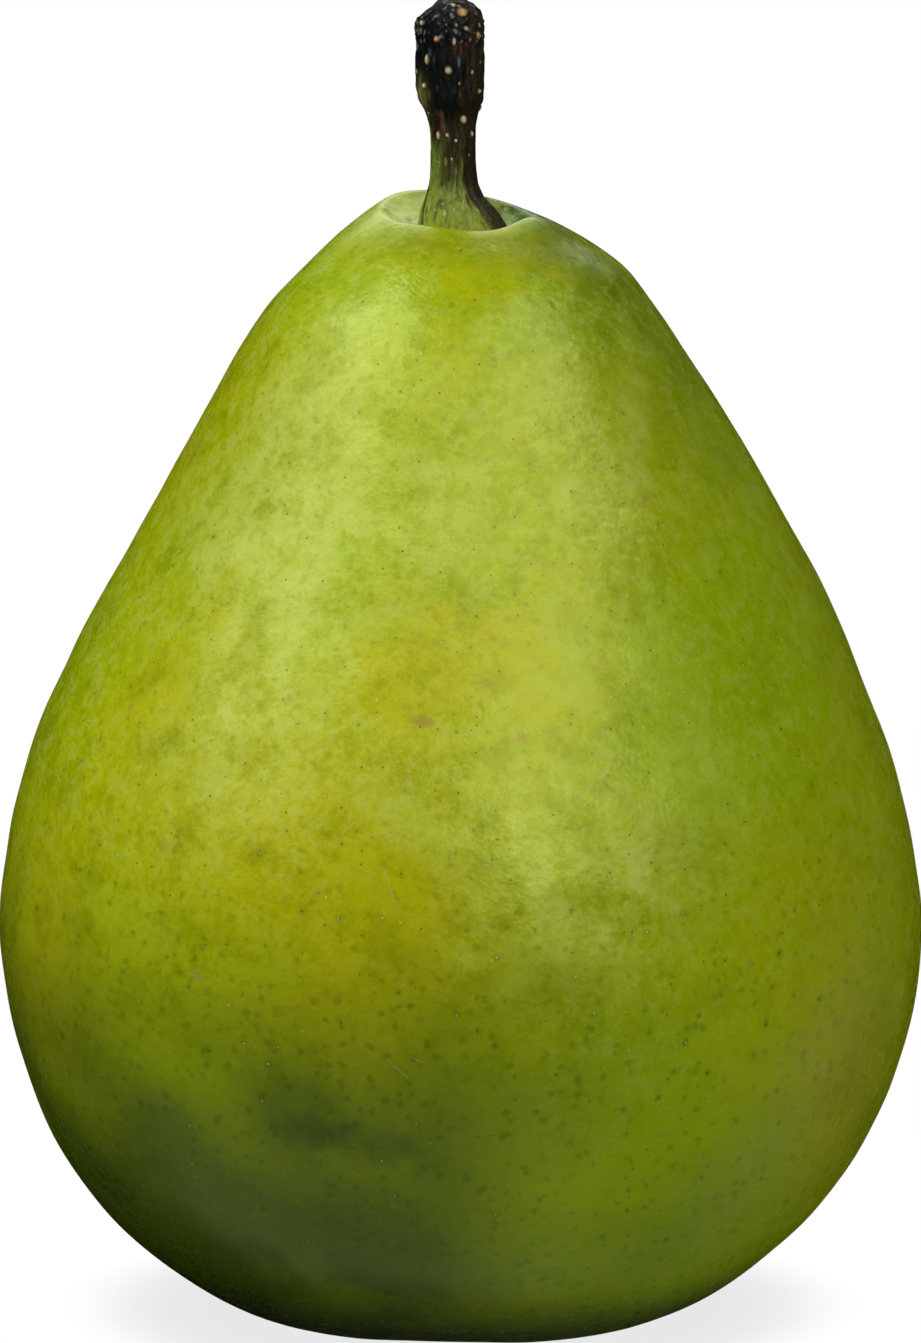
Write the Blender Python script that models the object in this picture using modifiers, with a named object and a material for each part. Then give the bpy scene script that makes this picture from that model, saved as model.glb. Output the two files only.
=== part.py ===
"""A green winter pear standing on its own foot: flesh, stem and dried calyx, for Blender 4.5.

Metres, +Z up. The origin is under the middle of the fruit, at the height it rests on, and -Y is
the side that faces forward. Each piece is a turned profile whose points are then moved by a
formula, because nothing on a grown fruit is quite round.
"""

import math

import bpy

MM = 0.001

# Driving dimensions, in millimetres.
BELLY_RADIUS = 40.0
BELLY_HEIGHT = 33.6
RIM_RADIUS = 7.3  # crest of the shoulder round the stem cavity
RIM_HEIGHT = 96.2
CAVITY_FLOOR = 93.4
FOOT_OUTER = 13.0  # it rests between these two radii, on the ends of its five ribs
FOOT_INNER = 9.0
BASIN_DEPTH = 4.4
STEM_TOP = 114.9
STEM_NECK_RADIUS = 2.0
STEM_KNOB_RADIUS = 2.9
STEM_FOOT_RADIUS = 4.1
CLEARANCE = 0.35  # between the fruit and the pieces set into it
LOBES = 5  # ribs at the foot, and sepals of the calyx
LOBE_ANGLE = math.radians(-60)
VALLEY_DEPTH = 0.9  # between two ribs, at the foot

BODY_STEPS = 60
STEM_STEPS = 24
CALYX_STEPS = 40

# Outlines as (radius, height), down the outer side from the top.
BODY_OUTLINE = [
    (0.0, CAVITY_FLOOR),
    (2.6, CAVITY_FLOOR),
    (4.5, 93.8),
    (5.5, 94.9),
    (6.3, 95.8),
    (RIM_RADIUS, RIM_HEIGHT),
    (9.2, 95.3),
    (11.8, 93.5),
    (14.8, 90.8),
    (18.4, 86.3),
    (22.2, 80.1),
    (26.3, 72.9),
    (30.4, 65.3),
    (34.1, 57.9),
    (37.2, 50.3),
    (39.2, 42.1),
    (BELLY_RADIUS, BELLY_HEIGHT),
    (38.75, 24.7),
    (35.8, 16.5),
    (31.4, 9.7),
    (25.7, 4.4),
    (19.9, 1.05),
    (FOOT_OUTER, 0.0),
    (FOOT_INNER, 0.0),
    (6.6, 1.2),
    (4.6, 3.2),
    (2.4, BASIN_DEPTH - 0.2),
    (0.0, BASIN_DEPTH),
]
STEM_OUTLINE = [
    (0.0, STEM_TOP),
    (1.7, STEM_TOP),
    (2.5, 114.2),
    (2.85, 112.6),
    (2.8, 110.6),
    (STEM_KNOB_RADIUS, 108.6),
    (2.55, 106.6),
    (2.15, 105.2),
    (STEM_NECK_RADIUS, 102.4),
    (STEM_NECK_RADIUS, 99.9),
    (2.25, 98.2),
    (2.9, 96.6),
    (3.8, 95.5),
    (STEM_FOOT_RADIUS, 94.7),
    (3.5, CAVITY_FLOOR + CLEARANCE + 0.2),
    (0.0, CAVITY_FLOOR + CLEARANCE),
]
CALYX_OUTLINE = [
    (0.0, BASIN_DEPTH - CLEARANCE),
    (2.0, BASIN_DEPTH - CLEARANCE - 0.3),
    (3.3, 2.6),
    (4.4, 1.4),
    (5.2, 0.5),
    (4.3, 0.7),
    (3.0, 1.6),
    (1.6, 2.3),
    (0.0, 2.5),
]


def smoothstep(value, low, high):
    t = min(max((value - low) / (high - low), 0.0), 1.0)
    return t * t * (3.0 - 2.0 * t)


def bell(value, centre, width):
    return math.exp(-(((value - centre) / width) ** 2))


def smooth_outline(points, per_span=2):
    """Catmull-Rom curve through the points, with per_span steps from each point to the next."""
    padded = [points[0]] + points + [points[-1]]
    curve = []
    for before, start, end, after in zip(padded, padded[1:], padded[2:], padded[3:]):
        for step in range(per_span):
            t = step / per_span
            curve.append(
                tuple(
                    0.5
                    * (
                        2 * b
                        + (c - a) * t
                        + (2 * a - 5 * b + 4 * c - d) * t**2
                        + (3 * b - a - 3 * c + d) * t**3
                    )
                    for a, b, c, d in zip(before, start, end, after)
                )
            )
    return curve + [points[-1]]


def body_shape(radius, angle, height):
    """The fruit: ribs that end in five feet, an uneven girth, a leaning neck and a tilted shoulder."""
    height = max(height, 0.0)
    rib = math.cos(LOBES * (angle - LOBE_ANGLE))
    valley = VALLEY_DEPTH * smoothstep(-rib, -0.5, 1.0)
    off_axis = smoothstep(radius, 5, 25)
    ribs = 0.010 * (1 - smoothstep(height, 4, 46)) * rib
    girth = 0.30 * math.sin(2 * angle + 0.7 + height * 0.05)
    girth += 0.16 * math.sin(3 * angle - 0.8 + height * 0.09)
    grown = radius * (1 + ribs) + girth * off_axis
    lean = 0.75 * bell(height, 67.5, 15) - 0.15
    lean += 0.75 * smoothstep(height, 88, 93) + 0.6 * (1 - smoothstep(height, 0, 9))
    lean -= 0.6 * (1 - smoothstep(radius, 4, 11)) * smoothstep(height, 80, 90)
    tilt = 1.1 * math.cos(angle - math.radians(125))
    tilt *= smoothstep(height, 88, 96) * smoothstep(radius, 3, 7)
    return (
        grown * math.cos(angle) + lean,
        grown * math.sin(angle) * 0.975,
        height + tilt + valley * bell(radius, 12, 5.5) * (1 - smoothstep(height, 1, 12)),
    )


def stem_shape(radius, angle, height):
    """The stem: a little oval, leaning to -X as it rises, with one side of its end cut away."""
    knob = smoothstep(height, 105, 108)
    oval = 1 + 0.05 * knob * math.cos(2 * angle + 0.9) + 0.03 * math.cos(3 * angle - 0.5)
    x = radius * oval * math.cos(angle)
    y = radius * oval * math.sin(angle)
    cut = 1.5 * smoothstep(-x, 0.6, 2.6) * smoothstep(height, 112.5, 114.5)
    lean = -0.35 - 0.55 * smoothstep(height, 95, 110)
    return x + lean, y, height - cut


def calyx_shape(radius, angle, height):
    """The calyx: a shallow cup drawn out into five points."""
    star = 1 + 0.30 * smoothstep(radius, 1, 5) * math.cos(LOBES * (angle - LOBE_ANGLE))
    return radius * star * math.cos(angle), radius * star * math.sin(angle), height


def finish(name, colour, roughness):
    """A plain Principled material for one piece."""
    material = bpy.data.materials.new(name)
    material.use_nodes = True
    shader = material.node_tree.nodes["Principled BSDF"]
    shader.inputs["Base Color"].default_value = (*colour, 1.0)
    shader.inputs["Roughness"].default_value = roughness
    shader.inputs["Metallic"].default_value = 0.0
    material.diffuse_color = (*colour, 1.0)
    return material


def turned_piece(name, outline, steps, shape, material, collection):
    """Turns the outline round Z with a Screw, then moves each point by shape(radius, angle, height)."""
    mesh = bpy.data.meshes.new(name)
    points = [(r * MM, 0.0, z * MM) for r, z in smooth_outline(outline)]
    mesh.from_pydata(points, [(i, i + 1) for i in range(len(points) - 1)], [])
    piece = bpy.data.objects.new(name, mesh)
    collection.objects.link(piece)
    screw = piece.modifiers.new("turn", "SCREW")
    screw.steps = screw.render_steps = steps
    screw.use_merge_vertices = True
    screw.merge_threshold = 0.00001

    graph = bpy.context.evaluated_depsgraph_get()
    solid = bpy.data.meshes.new_from_object(piece.evaluated_get(graph))
    piece.modifiers.clear()
    piece.data = solid
    bpy.data.meshes.remove(mesh)
    solid.name = name
    for vertex in solid.vertices:
        x, y, z = (value / MM for value in vertex.co)
        moved = shape(math.hypot(x, y), math.atan2(y, x), z)
        vertex.co = [value * MM for value in moved]
    solid.shade_smooth()
    solid.materials.clear()
    solid.materials.append(material)
    return piece


for old in list(bpy.data.objects):
    bpy.data.objects.remove(old)

pear = bpy.data.collections.new("pear")
bpy.context.scene.collection.children.link(pear)

skin = finish("green_skin", (0.36, 0.42, 0.03), 0.42)
bark = finish("stem_bark", (0.06, 0.05, 0.03), 0.75)
husk = finish("dry_calyx", (0.12, 0.07, 0.03), 0.85)

turned_piece("pear_body", BODY_OUTLINE, BODY_STEPS, body_shape, skin, pear)
turned_piece("stem", STEM_OUTLINE, STEM_STEPS, stem_shape, bark, pear)
turned_piece("calyx", CALYX_OUTLINE, CALYX_STEPS, calyx_shape, husk, pear)
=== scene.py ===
# The looks of a green winter pear: skin, stem, dried calyx, studio light and camera.
# Shapes are drawn in millimetres, seated in the CAD nodes' boxes and written in metres.
import math

import bpy
import numpy as np
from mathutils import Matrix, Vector


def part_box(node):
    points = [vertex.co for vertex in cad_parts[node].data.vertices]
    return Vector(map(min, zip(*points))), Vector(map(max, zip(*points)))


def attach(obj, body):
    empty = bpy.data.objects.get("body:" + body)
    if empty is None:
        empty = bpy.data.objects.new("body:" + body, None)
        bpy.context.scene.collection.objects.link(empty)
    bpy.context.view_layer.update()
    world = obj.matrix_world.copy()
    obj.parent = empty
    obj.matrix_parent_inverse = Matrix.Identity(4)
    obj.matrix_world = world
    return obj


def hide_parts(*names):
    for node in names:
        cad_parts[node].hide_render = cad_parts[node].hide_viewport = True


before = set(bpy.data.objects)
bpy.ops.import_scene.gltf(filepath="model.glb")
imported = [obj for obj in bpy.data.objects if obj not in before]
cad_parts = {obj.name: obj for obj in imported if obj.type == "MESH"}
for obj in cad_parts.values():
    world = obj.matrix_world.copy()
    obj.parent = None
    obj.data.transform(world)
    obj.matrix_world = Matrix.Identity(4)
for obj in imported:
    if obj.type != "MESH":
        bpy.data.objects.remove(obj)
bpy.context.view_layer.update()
perMetre = 1000.0
lookDown = math.radians(9.0)  # how far the camera looks down on the front


# 0 below low, 1 above high, and 3t^2 - 2t^3 between
def softStep(value, low, high):
    t = np.clip((value - low) / (high - low), 0.0, 1.0)
    return t * t * (3.0 - 2.0 * t)


# exp(-((value - centre) / width)^2)
def hump(value, centre, width):
    return np.exp(-(((value - centre) / width) ** 2))


# smooth noise, mostly within -1.5 to 1.5: sines along random directions, wavelengths near size
def waves(points, size, seed, stretch=(1.0, 1.0, 1.0), count=18):
    rng = np.random.default_rng(seed)
    directions = rng.normal(size=(count, 3))
    directions /= np.linalg.norm(directions, axis=1, keepdims=True)
    lengths = size * rng.uniform(0.7, 1.45, count)
    phases = rng.uniform(0.0, 2.0 * math.pi, count)
    total = np.zeros(points.shape[:-1])
    for direction, length, phase in zip(directions, lengths, phases):
        total += np.sin((points / np.array(stretch)) @ direction * 2.0 * math.pi / length + phase)
    return total / math.sqrt(count)


# Catmull-Rom curve through the points
def smoothCurve(points, perSpan):
    p = np.array([points[0], *points, points[-1]], float)
    a, b, c, d = (p[i:len(p) - 3 + i, None, :] for i in range(4))
    t = np.linspace(0.0, 1.0, perSpan, endpoint=False)[None, :, None]
    curve = 2 * b + (c - a) * t + (2 * a - 5 * b + 4 * c - d) * t**2
    curve = 0.5 * (curve + (3 * b - a - 3 * c + d) * t**3)
    return np.vstack([curve.reshape(-1, p.shape[1]), p[-1]])


# the curve read at a number of rows, closer together where spacing is small
def evenRows(curve, rows, spacing):
    steps = np.linalg.norm(np.diff(curve, axis=0), axis=1)
    weight = np.concatenate([[0.0], np.cumsum(steps / (0.5 * (spacing[1:] + spacing[:-1])))])
    at = np.linspace(0.0, weight[-1], rows)
    return np.stack([np.interp(at, weight, curve[:, i]) for i in range(curve.shape[1])], -1)


# faces of a grid of rings that closes on itself sideways, with one point at each end: triangles
# round each end point, and a quad between each two neighbours on each two rings
def wrappedFaces(rows, columns):
    i, j = np.meshgrid(np.arange(rows - 3), np.arange(columns), indexing="ij")
    nextJ = (j + 1) % columns
    start = 1 + i * columns
    sides = [start + j, start + columns + j, start + columns + nextJ, start + nextJ]
    quads = np.stack(sides, -1).reshape(-1, 4)
    k = np.arange(columns)
    nextK = (k + 1) % columns
    last = 1 + (rows - 2) * columns
    top = np.stack([np.zeros_like(k), 1 + k, 1 + nextK], -1)
    bottom = np.stack([np.full_like(k, last), last - columns + nextK, last - columns + k], -1)
    return top.tolist() + quads.tolist() + bottom.tolist()


# a profile carried round Z, as radius, angle and height on a grid
def turnedGrid(profile, columns):
    angle = np.linspace(-math.pi, math.pi, columns, endpoint=False)
    angle, _ = np.meshgrid(angle, profile[:, 0])
    radius = np.repeat(profile[:, :1], columns, 1)
    height = np.repeat(profile[:, 1:2], columns, 1)
    return radius, angle, height


# a grid with its first and last rings made one point each, as a flat list
def closeGrid(grid):
    return np.vstack([grid[0].mean(0), grid[1:-1].reshape(-1, grid.shape[-1]), grid[-1].mean(0)])


# points drawn for drawnBox, moved and stretched to the box of the CAD node
def seat(points, drawnBox, node):
    low, high = (np.array(corner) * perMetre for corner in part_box(node))
    drawnLow, drawnHigh = (np.array(corner) for corner in drawnBox)
    return low + (points - drawnLow) * (high - low) / (drawnHigh - drawnLow)


# colours moved towards one colour by an amount per point
def paint(tone, amount, colour):
    return tone + (np.array(colour) - tone) * np.clip(amount, 0.0, 1.0)[..., None]


# puts points in millimetres and faces into a new object that rides with the fruit
def addPiece(name, points, faces, material, node, colours=None):
    mesh = bpy.data.meshes.new(name)
    mesh.from_pydata((points / perMetre).tolist(), [], faces)
    for layer, values in (colours or {}).items():
        attribute = mesh.attributes.new(layer, "FLOAT_COLOR", "POINT")
        rgba = np.ones((len(points), 4), np.float32)
        rgba[:, :3] = values
        attribute.data.foreach_set("color", rgba.ravel())
    mesh.materials.append(material)
    mesh.shade_smooth()
    mesh.update()
    piece = bpy.data.objects.new(name, mesh)
    bpy.context.scene.collection.objects.link(piece)
    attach(piece, "root")
    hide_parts(node)
    print(f"{name}: {len(mesh.vertices)} points, {len(mesh.polygons)} faces")


# adds nodes to one material or world: inputs are values, or outputs of other nodes. times and total
# multiply and add, span is 0 at low, 1 at high and eased between, and tint multiplies a colour.
class Shader:
    def __init__(self, owner):
        owner.use_nodes = True
        self.tree = owner.node_tree
        self.tree.nodes.clear()

    def add(self, kind, inputs=None, **settings):
        node = self.tree.nodes.new("ShaderNode" + kind)
        for key, value in settings.items():
            setattr(node, key, value)
        for key, value in (inputs or {}).items():
            if isinstance(value, bpy.types.NodeSocket):
                self.tree.links.new(value, node.inputs[key])
            else:
                node.inputs[key].default_value = value
        return node

    def math(self, operation, *values):
        return self.add("Math", dict(enumerate(values)), operation=operation).outputs[0]

    def times(self, *values):
        product = values[0]
        for value in values[1:]:
            product = self.math("MULTIPLY", product, value)
        return product

    def total(self, *values):
        result = values[0]
        for value in values[1:]:
            result = self.math("ADD", result, value)
        return result

    def span(self, value, low, high, toLow=0.0, toHigh=1.0):
        inputs = {0: value, 1: low, 2: high, 3: toLow, 4: toHigh}
        return self.add("MapRange", inputs, interpolation_type="SMOOTHSTEP").outputs[0]

    def mix(self, amount, first, second, blend="MIX"):
        inputs = {0: amount, 6: first, 7: second}
        return self.add("Mix", inputs, data_type="RGBA", blend_type=blend).outputs[2]

    def vector(self, operation, inputs, output=0):
        return self.add("VectorMath", inputs, operation=operation).outputs[output]

    def tint(self, amount, first, second):
        return self.mix(amount, first, second, "MULTIPLY")

    def noise(self, vector, scale, detail=2.0, roughness=0.5):
        inputs = {"Vector": vector, "Scale": scale, "Detail": detail, "Roughness": roughness}
        return self.add("TexNoise", inputs).outputs["Fac"]

    def colour(self, layer):
        return self.add("Attribute", attribute_name=layer).outputs["Color"]

    def masks(self, layer):
        return self.add("SeparateColor", {0: self.colour(layer)}).outputs

    def inMillimetres(self):
        place = self.add("TexCoord").outputs["Object"]
        return self.vector("SCALE", {0: place, "Scale": perMetre})

    # 1 inside an oval at a centre, turned about Y, and 0 outside, with an edge that wavers
    def oval(self, place, centre, size, turn, waver, edge=0.5):
        inputs = {"Vector": place, "Location": centre, "Rotation": (0, turn, 0), "Scale": size}
        local = self.add("Mapping", inputs, vector_type="TEXTURE").outputs[0]
        away = self.total(self.vector("LENGTH", {0: local}, "Value"), waver)
        return self.span(away, 1.0 + edge, 1.0 - edge)


fruit = {
    # outline as (radius, height), from the middle of the stem cavity to the middle of the basin
    "outline": [
        (0.0, 93.2), (2.6, 93.2), (4.5, 93.8), (5.5, 94.9), (6.3, 95.8), (7.3, 96.2), (9.2, 95.3),
        (11.8, 93.5), (14.8, 90.8), (18.4, 86.3), (22.2, 80.1), (26.3, 72.9), (30.4, 65.3),
        (34.1, 57.9), (37.2, 50.3), (39.2, 42.1), (40.0, 33.6), (38.75, 24.7), (35.8, 16.5),
        (31.4, 9.7), (25.7, 4.4), (19.9, 1.05), (13.0, 0.0), (9.0, 0.0), (6.6, 1.2), (4.6, 3.2),
        (2.4, 4.2), (0.0, 4.4),
    ],
    "drawnBox": ((-40.18, -38.63, 0.0), (40.23, 38.96, 97.3)),
    "rows": 250,
    "columns": 384,
    "lobes": 5,
    "lobeAngle": math.radians(-60),
    "valleyDepth": 0.9,
    "shoulderTilt": 1.1,
    "shoulderAngle": math.radians(125),
    "flattening": 0.975,
    "filledAngle": math.radians(172),  # where the flesh runs up to the stem
    "fillHeight": 95.25,
    "crestAngle": math.radians(-34),
    "crestRise": 1.1,
    # ground colours
    "green": (0.285, 0.430, 0.0025),
    "olive": (0.435, 0.435, 0.002),
    # pale wax, also used for the painted light patches and the painted sheen
    "pale": (0.47, 0.54, 0.075),
    # dark green of the painted shade
    "paintedShadeGreen": (0.085, 0.135, 0.010),
    # painted shade at the foot, where the fruit meets the floor
    "foot": (0.032, 0.046, 0.026),
    "underLip": (0.25, 0.30, 0.001),
    # painted shadow on the cavity's wall, where the stem's shade falls
    "cavityShadow": (0.048, 0.092, 0.024),
    # painted highlight on the crest at the right of the cavity
    "crest": (0.46, 0.60, 0.17),
    # pale wax and painted light on the left shoulder by the stem
    "leftShoulderWaxAndLight": (0.50, 0.61, 0.13),
    "flake": (0.11, 0.06, 0.025),
    # patches on the front as (x, height as seen, half width, half height, strength)
    "yellow": [
        (-17, 40, 15, 12, 0.35), (-6, 35, 8, 7, 0.35), (-3, 56, 4.5, 4.5, 0.35),
        (-8, 73, 5, 8, 0.15), (5, 57, 5, 4, 0.20), (34, 24, 9, 14, 0.45), (-1, 94, 8, 3, 0.10),
        (-6, 33, 6, 8, 0.22), (-35, 36, 4, 14, 0.30), (30, 38, 8, 8, 0.1),
    ],
    # pale wax bloom, partly a painted sheen where the soft boxes reflect on the front
    "waxBloomAndSheen": [
        (-10, 83, 5, 7, 0.7), (-13, 71, 7, 9, 1.0), (-17, 60, 7, 8, 0.9), (-18, 51, 5, 7, 0.7),
        (-20, 67, 5, 5, 0.6), (-2, 67, 6, 8, 0.6), (2, 74, 6, 12, 0.3), (11, 76, 5, 12, 0.7),
        (12, 62, 5, 9, 0.5), (11, 50, 6, 8, 0.6), (7, 39, 7, 6.0, 1.0), (14, 38, 5, 5, 0.6),
        (-7, 46, 6, 6, 0.6),
    ],
    # painted light: patches made paler where the front is lit most
    "light": [
        (-19.5, 68, 5, 4.5, 0.6), (-14, 75, 5, 8, 0.5), (-16, 58, 4, 3, 0.2),
        (-1.5, 66, 5, 7, 0.3), (13, 78, 3, 5, 0.3),
    ],
    "bare": [
        (-4.3, 58.5, 3.6, 4.6, 1.2), (4.6, 58.0, 4.5, 4.5, 0.9), (-6.4, 37.5, 4.6, 6.0, 1.4),
        (-8.0, 31.5, 6.0, 3.5, 0.6), (-1.0, 86.0, 2.2, 6.0, 0.7), (-24, 77, 4.0, 9.0, 0.6),
        (-27, 53, 4.5, 9.0, 0.8), (3, 93, 9, 2.2, 1.2), (-21, 61, 4, 3.5, 0.8),
        (7, 55, 4.5, 5, 0.7),
    ],
    # painted shade: patches made darker where less light falls on the front
    "shade": [
        (14, 89, 6.5, 6.5, 0.42), (20, 80, 6, 10, 0.26), (9, 93.5, 5, 2.5, 0.30),
        (-9.5, 17.2, 9, 4, 0.22), (-24, 6, 9, 5, 0.30), (7.5, 28.5, 7, 4.5, 0.20),
        (-6, 3, 7, 3, 0.6),
    ],
}


# The turned outline with ribs that end in five feet, an uneven girth, a leaning neck and a tilted
# shoulder; then the flesh filled in to the stem on one side, and low swellings.
# Point = (radius + ribs + girth) round the axis, at height + tilt + fill + lift between the feet.
def fruitPlace(radius, angle, height):
    height = np.maximum(height, 0.0)
    upper = softStep(height, 60, 80)
    rib = np.cos(fruit["lobes"] * (angle - fruit["lobeAngle"]))
    valley = fruit["valleyDepth"] * softStep(-rib, -0.5, 1.0)
    girth = 0.30 * np.sin(2 * angle + 0.7 + height * 0.05)
    girth += 0.16 * np.sin(3 * angle - 0.8 + height * 0.09)
    grown = radius * (1 + 0.010 * (1 - softStep(height, 4, 46)) * rib)
    grown += girth * softStep(radius, 5, 25)

    lean = 0.75 * hump(height, 67.5, 15) - 0.15 + 0.75 * softStep(height, 88, 93)
    lean += 0.6 * (1 - softStep(height, 0, 9))
    lean -= 0.6 * (1 - softStep(radius, 4, 11)) * softStep(height, 80, 90)

    # the rim round the cavity: high at the back left, with a lip in front and a crest on the right
    tilt = fruit["shoulderTilt"] * np.cos(angle - fruit["shoulderAngle"])
    tilt += 0.45 * softStep(np.cos(angle - math.radians(108)), 0.3, 1.0)
    tilt -= 0.20 * softStep(np.cos(angle - math.radians(45)), 0.5, 1.0)
    tilt += 0.42 * softStep(np.cos(angle + math.radians(80)), 0.3, 1.0)
    tilt *= softStep(height, 88, 96) * softStep(radius, 3, 7)
    crest = hump(angle, fruit["crestAngle"], 0.42) * hump(radius, 6.9, 1.9)
    tilt += fruit["crestRise"] * crest * upper

    # flesh up to the level of a ramp that rises to the back and outward on the left
    filled = softStep(np.cos(angle - fruit["filledAngle"]), 0.05, 0.65) * upper
    inner = softStep(radius, 0.4, 2.6) * (1 - softStep(radius, 6.2, 8.0))
    depth = radius * np.sin(angle)
    ramp = fruit["fillHeight"] + 0.20 * depth + 0.20 * np.sqrt(depth**2 + 0.5)
    ramp += 0.36 * np.maximum(-radius * np.cos(angle) - 3.4, 0)
    missing = ramp - height - tilt
    fill = filled * inner * 0.5 * (missing + np.sqrt(missing**2 + 0.04))

    lift = valley * hump(radius, 12, 5.5) * (1 - softStep(height, 1, 12))
    point = np.stack([
        grown * np.cos(angle) + lean,
        grown * np.sin(angle) * fruit["flattening"],
        height + tilt + fill + lift,
    ], -1)
    swelling = 0.10 * waves(point, 17, 3) + 0.05 * waves(point, 7, 4)
    neck = softStep(height, 91, 94) * (1 - softStep(radius, 6, 12))
    free = softStep(height, 1.0, 8.0) * (1 - neck) * softStep(radius, 4, 14)
    outward = np.stack([np.cos(angle), np.sin(angle), np.zeros_like(angle)], -1)
    return point + outward * (swelling * free)[..., None]


# the point of the front that the camera, looking down a little, sees at this x and at this height
# on the upright plane through the middle: z = seen + tan(lookDown) * depth, found in six rounds
def frontPoint(x, seen):
    outline = np.array(fruit["outline"])[6:23][::-1]  # from the foot up to the shoulder
    depth = 0.0
    for _ in range(6):
        z = seen + math.tan(lookDown) * depth
        radius = np.interp(z, outline[:, 1], outline[:, 0])
        depth = fruit["flattening"] * math.sqrt(max(radius**2 - x**2, 1.0))
    return np.array([x, -depth, z])


# the sum of the named patches, each strength * exp(-distance^2) in its own half sizes, with
# points moved about by noise so that the edges are ragged
def patchMask(points, name):
    total = np.zeros(points.shape[:-1])
    drift = []
    for seed in (41, 43, 45):
        drift.append(2.0 * waves(points, 9, seed) + 1.1 * waves(points, 3.2, seed + 1))
    points = points + np.stack(drift, -1)
    for x, seen, wide, tall, strength in fruit[name]:
        offset = (points - frontPoint(x, seen)) / np.array([wide, wide * 1.5, tall])
        total += strength * np.exp(-((offset**2).sum(-1)))
    return total


# The ground colour: yellow-green by side and height with patches, pale patches of painted light, an
# olive band under the lip, a painted shadow on the cavity's wall, a painted highlight on its crest,
# pale wax with painted light by the stem on the left, and painted shade low on the left and at the
# foot. With it go two layers: growth, as (mottling, halos, russet), and surface, as (waxy bloom
# with a painted sheen, wrinkles, where the pale grains stop).
def skinGround(grid, radius, angle, height):
    x, y, z = grid[..., 0], grid[..., 1], grid[..., 2]
    behind = softStep(y, -12, 6)
    upper = softStep(height, 60, 80)
    drift = waves(grid, 30, 31)
    yellow = 0.50 - 0.28 * softStep(x, 4, 22) + 0.14 * drift
    yellow = (yellow + patchMask(grid, "yellow")) * (0.12 + 0.88 * softStep(z, 8, 30))
    yellow *= 1 - 0.6 * softStep(z, 82, 92)
    yellow += 0.38 * softStep(x, 18, 34) * (1 - softStep(z, 18, 34))
    bare = np.clip(patchMask(grid, "bare"), 0, 1)
    # pale wax bloom with a painted sheen in the front patches, and bloom of its own on the back
    waxBloomAndSheen = np.clip(patchMask(grid, "waxBloomAndSheen"), 0, 1)
    waxBloomAndSheen += behind * 0.75 * softStep(waves(grid, 26, 32), 0.0, 1.2) * softStep(z, 25, 50)
    waxBloomAndSheen *= 1 - bare
    yellow += 0.45 * bare

    tone = np.full(grid.shape, fruit["green"])
    tone = paint(tone, yellow, fruit["olive"])
    # painted light: pale patches on the front
    tone = paint(tone, patchMask(grid, "light"), fruit["pale"])
    band = hump(radius, 9.6, 2.3) * softStep(np.cos(angle + math.radians(80)), 0.1, 0.7) * upper
    tone = paint(tone, 0.85 * band, fruit["underLip"])
    # painted shadow on the cavity's wall and its back right rim
    wall = (1 - softStep(radius, 5.4, 6.6)) * softStep(np.cos(angle - math.radians(20)), -0.2, 0.5)
    back = (1 - softStep(radius, 7.2, 9.0)) * softStep(np.cos(angle - math.radians(50)), 0.35, 0.8)
    tone = paint(tone, 0.95 * np.maximum(wall, back) * upper, fruit["cavityShadow"])
    # painted highlight along the crest on the right of the cavity
    crest = hump(radius, 7.2, 1.1) * softStep(np.cos(angle + math.radians(25)), 0.70, 0.98) * upper
    tone = paint(tone, 0.9 * crest, fruit["crest"])
    # pale wax and painted light on the left shoulder by the stem
    left = (1 - softStep(radius, 7.5, 12)) * softStep(np.cos(angle - math.radians(165)), 0.1, 0.8)
    tone = paint(tone, 0.8 * left * upper, fruit["leftShoulderWaxAndLight"])
    flake = hump(x, -4.4, 0.55) * hump(y, 0.3, 1.3) * hump(z, 95.7, 0.7)
    flake *= softStep(waves(grid, 0.9, 34), -0.6, 0.6)
    tone = paint(tone, 0.9 * flake, fruit["flake"])

    # painted shade: darker low on the left, in the shade patches, and a little at random low down
    edge = 8 + 14 * softStep(z, 8, 30)
    shade = 0.82 * (1 - softStep(z, 16, 50)) * (1 - softStep((x + 5) / (edge + 5), 0, 1))
    shade *= 1 - 0.55 * (1 - softStep(z, 3, 15)) * softStep(x, -24, -8)
    shade += patchMask(grid, "shade") + 0.12 * waves(grid, 12, 33) * (1 - softStep(z, 20, 45))
    tone = paint(tone, np.clip(shade, 0, 0.9), fruit["paintedShadeGreen"])
    # painted shade at the foot
    tone = paint(tone, 0.88 * (1 - softStep(z, 1.5, 8.0)), fruit["foot"])

    mottle = 1.0 - 0.45 * softStep(x, 5, 22) * (1 - behind)
    mottle *= 0.25 + 0.75 * softStep(z, 14, 40)
    halos = 0.30 + 0.60 * (1 - softStep(z, 22, 55))
    basin = (1 - softStep(radius, 3, 9)) * (1 - softStep(height, 4, 10))
    cavity = (1 - softStep(radius, 2.0, 5.0)) * upper
    growth = np.stack([mottle, halos, np.maximum(basin, 0.55 * cavity)], -1)
    wrinkle = hump(x, -4.2, 2.2) * hump(z, 92.2, 1.5) * (1 - behind)
    clean = np.maximum(bare, (1 - softStep(z, 33, 58)) * (1 - 0.7 * softStep(x, 0, 14)))
    surface = np.stack([np.clip(waxBloomAndSheen, 0, 1), wrinkle, clean], -1)
    return tone, growth, surface


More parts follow.
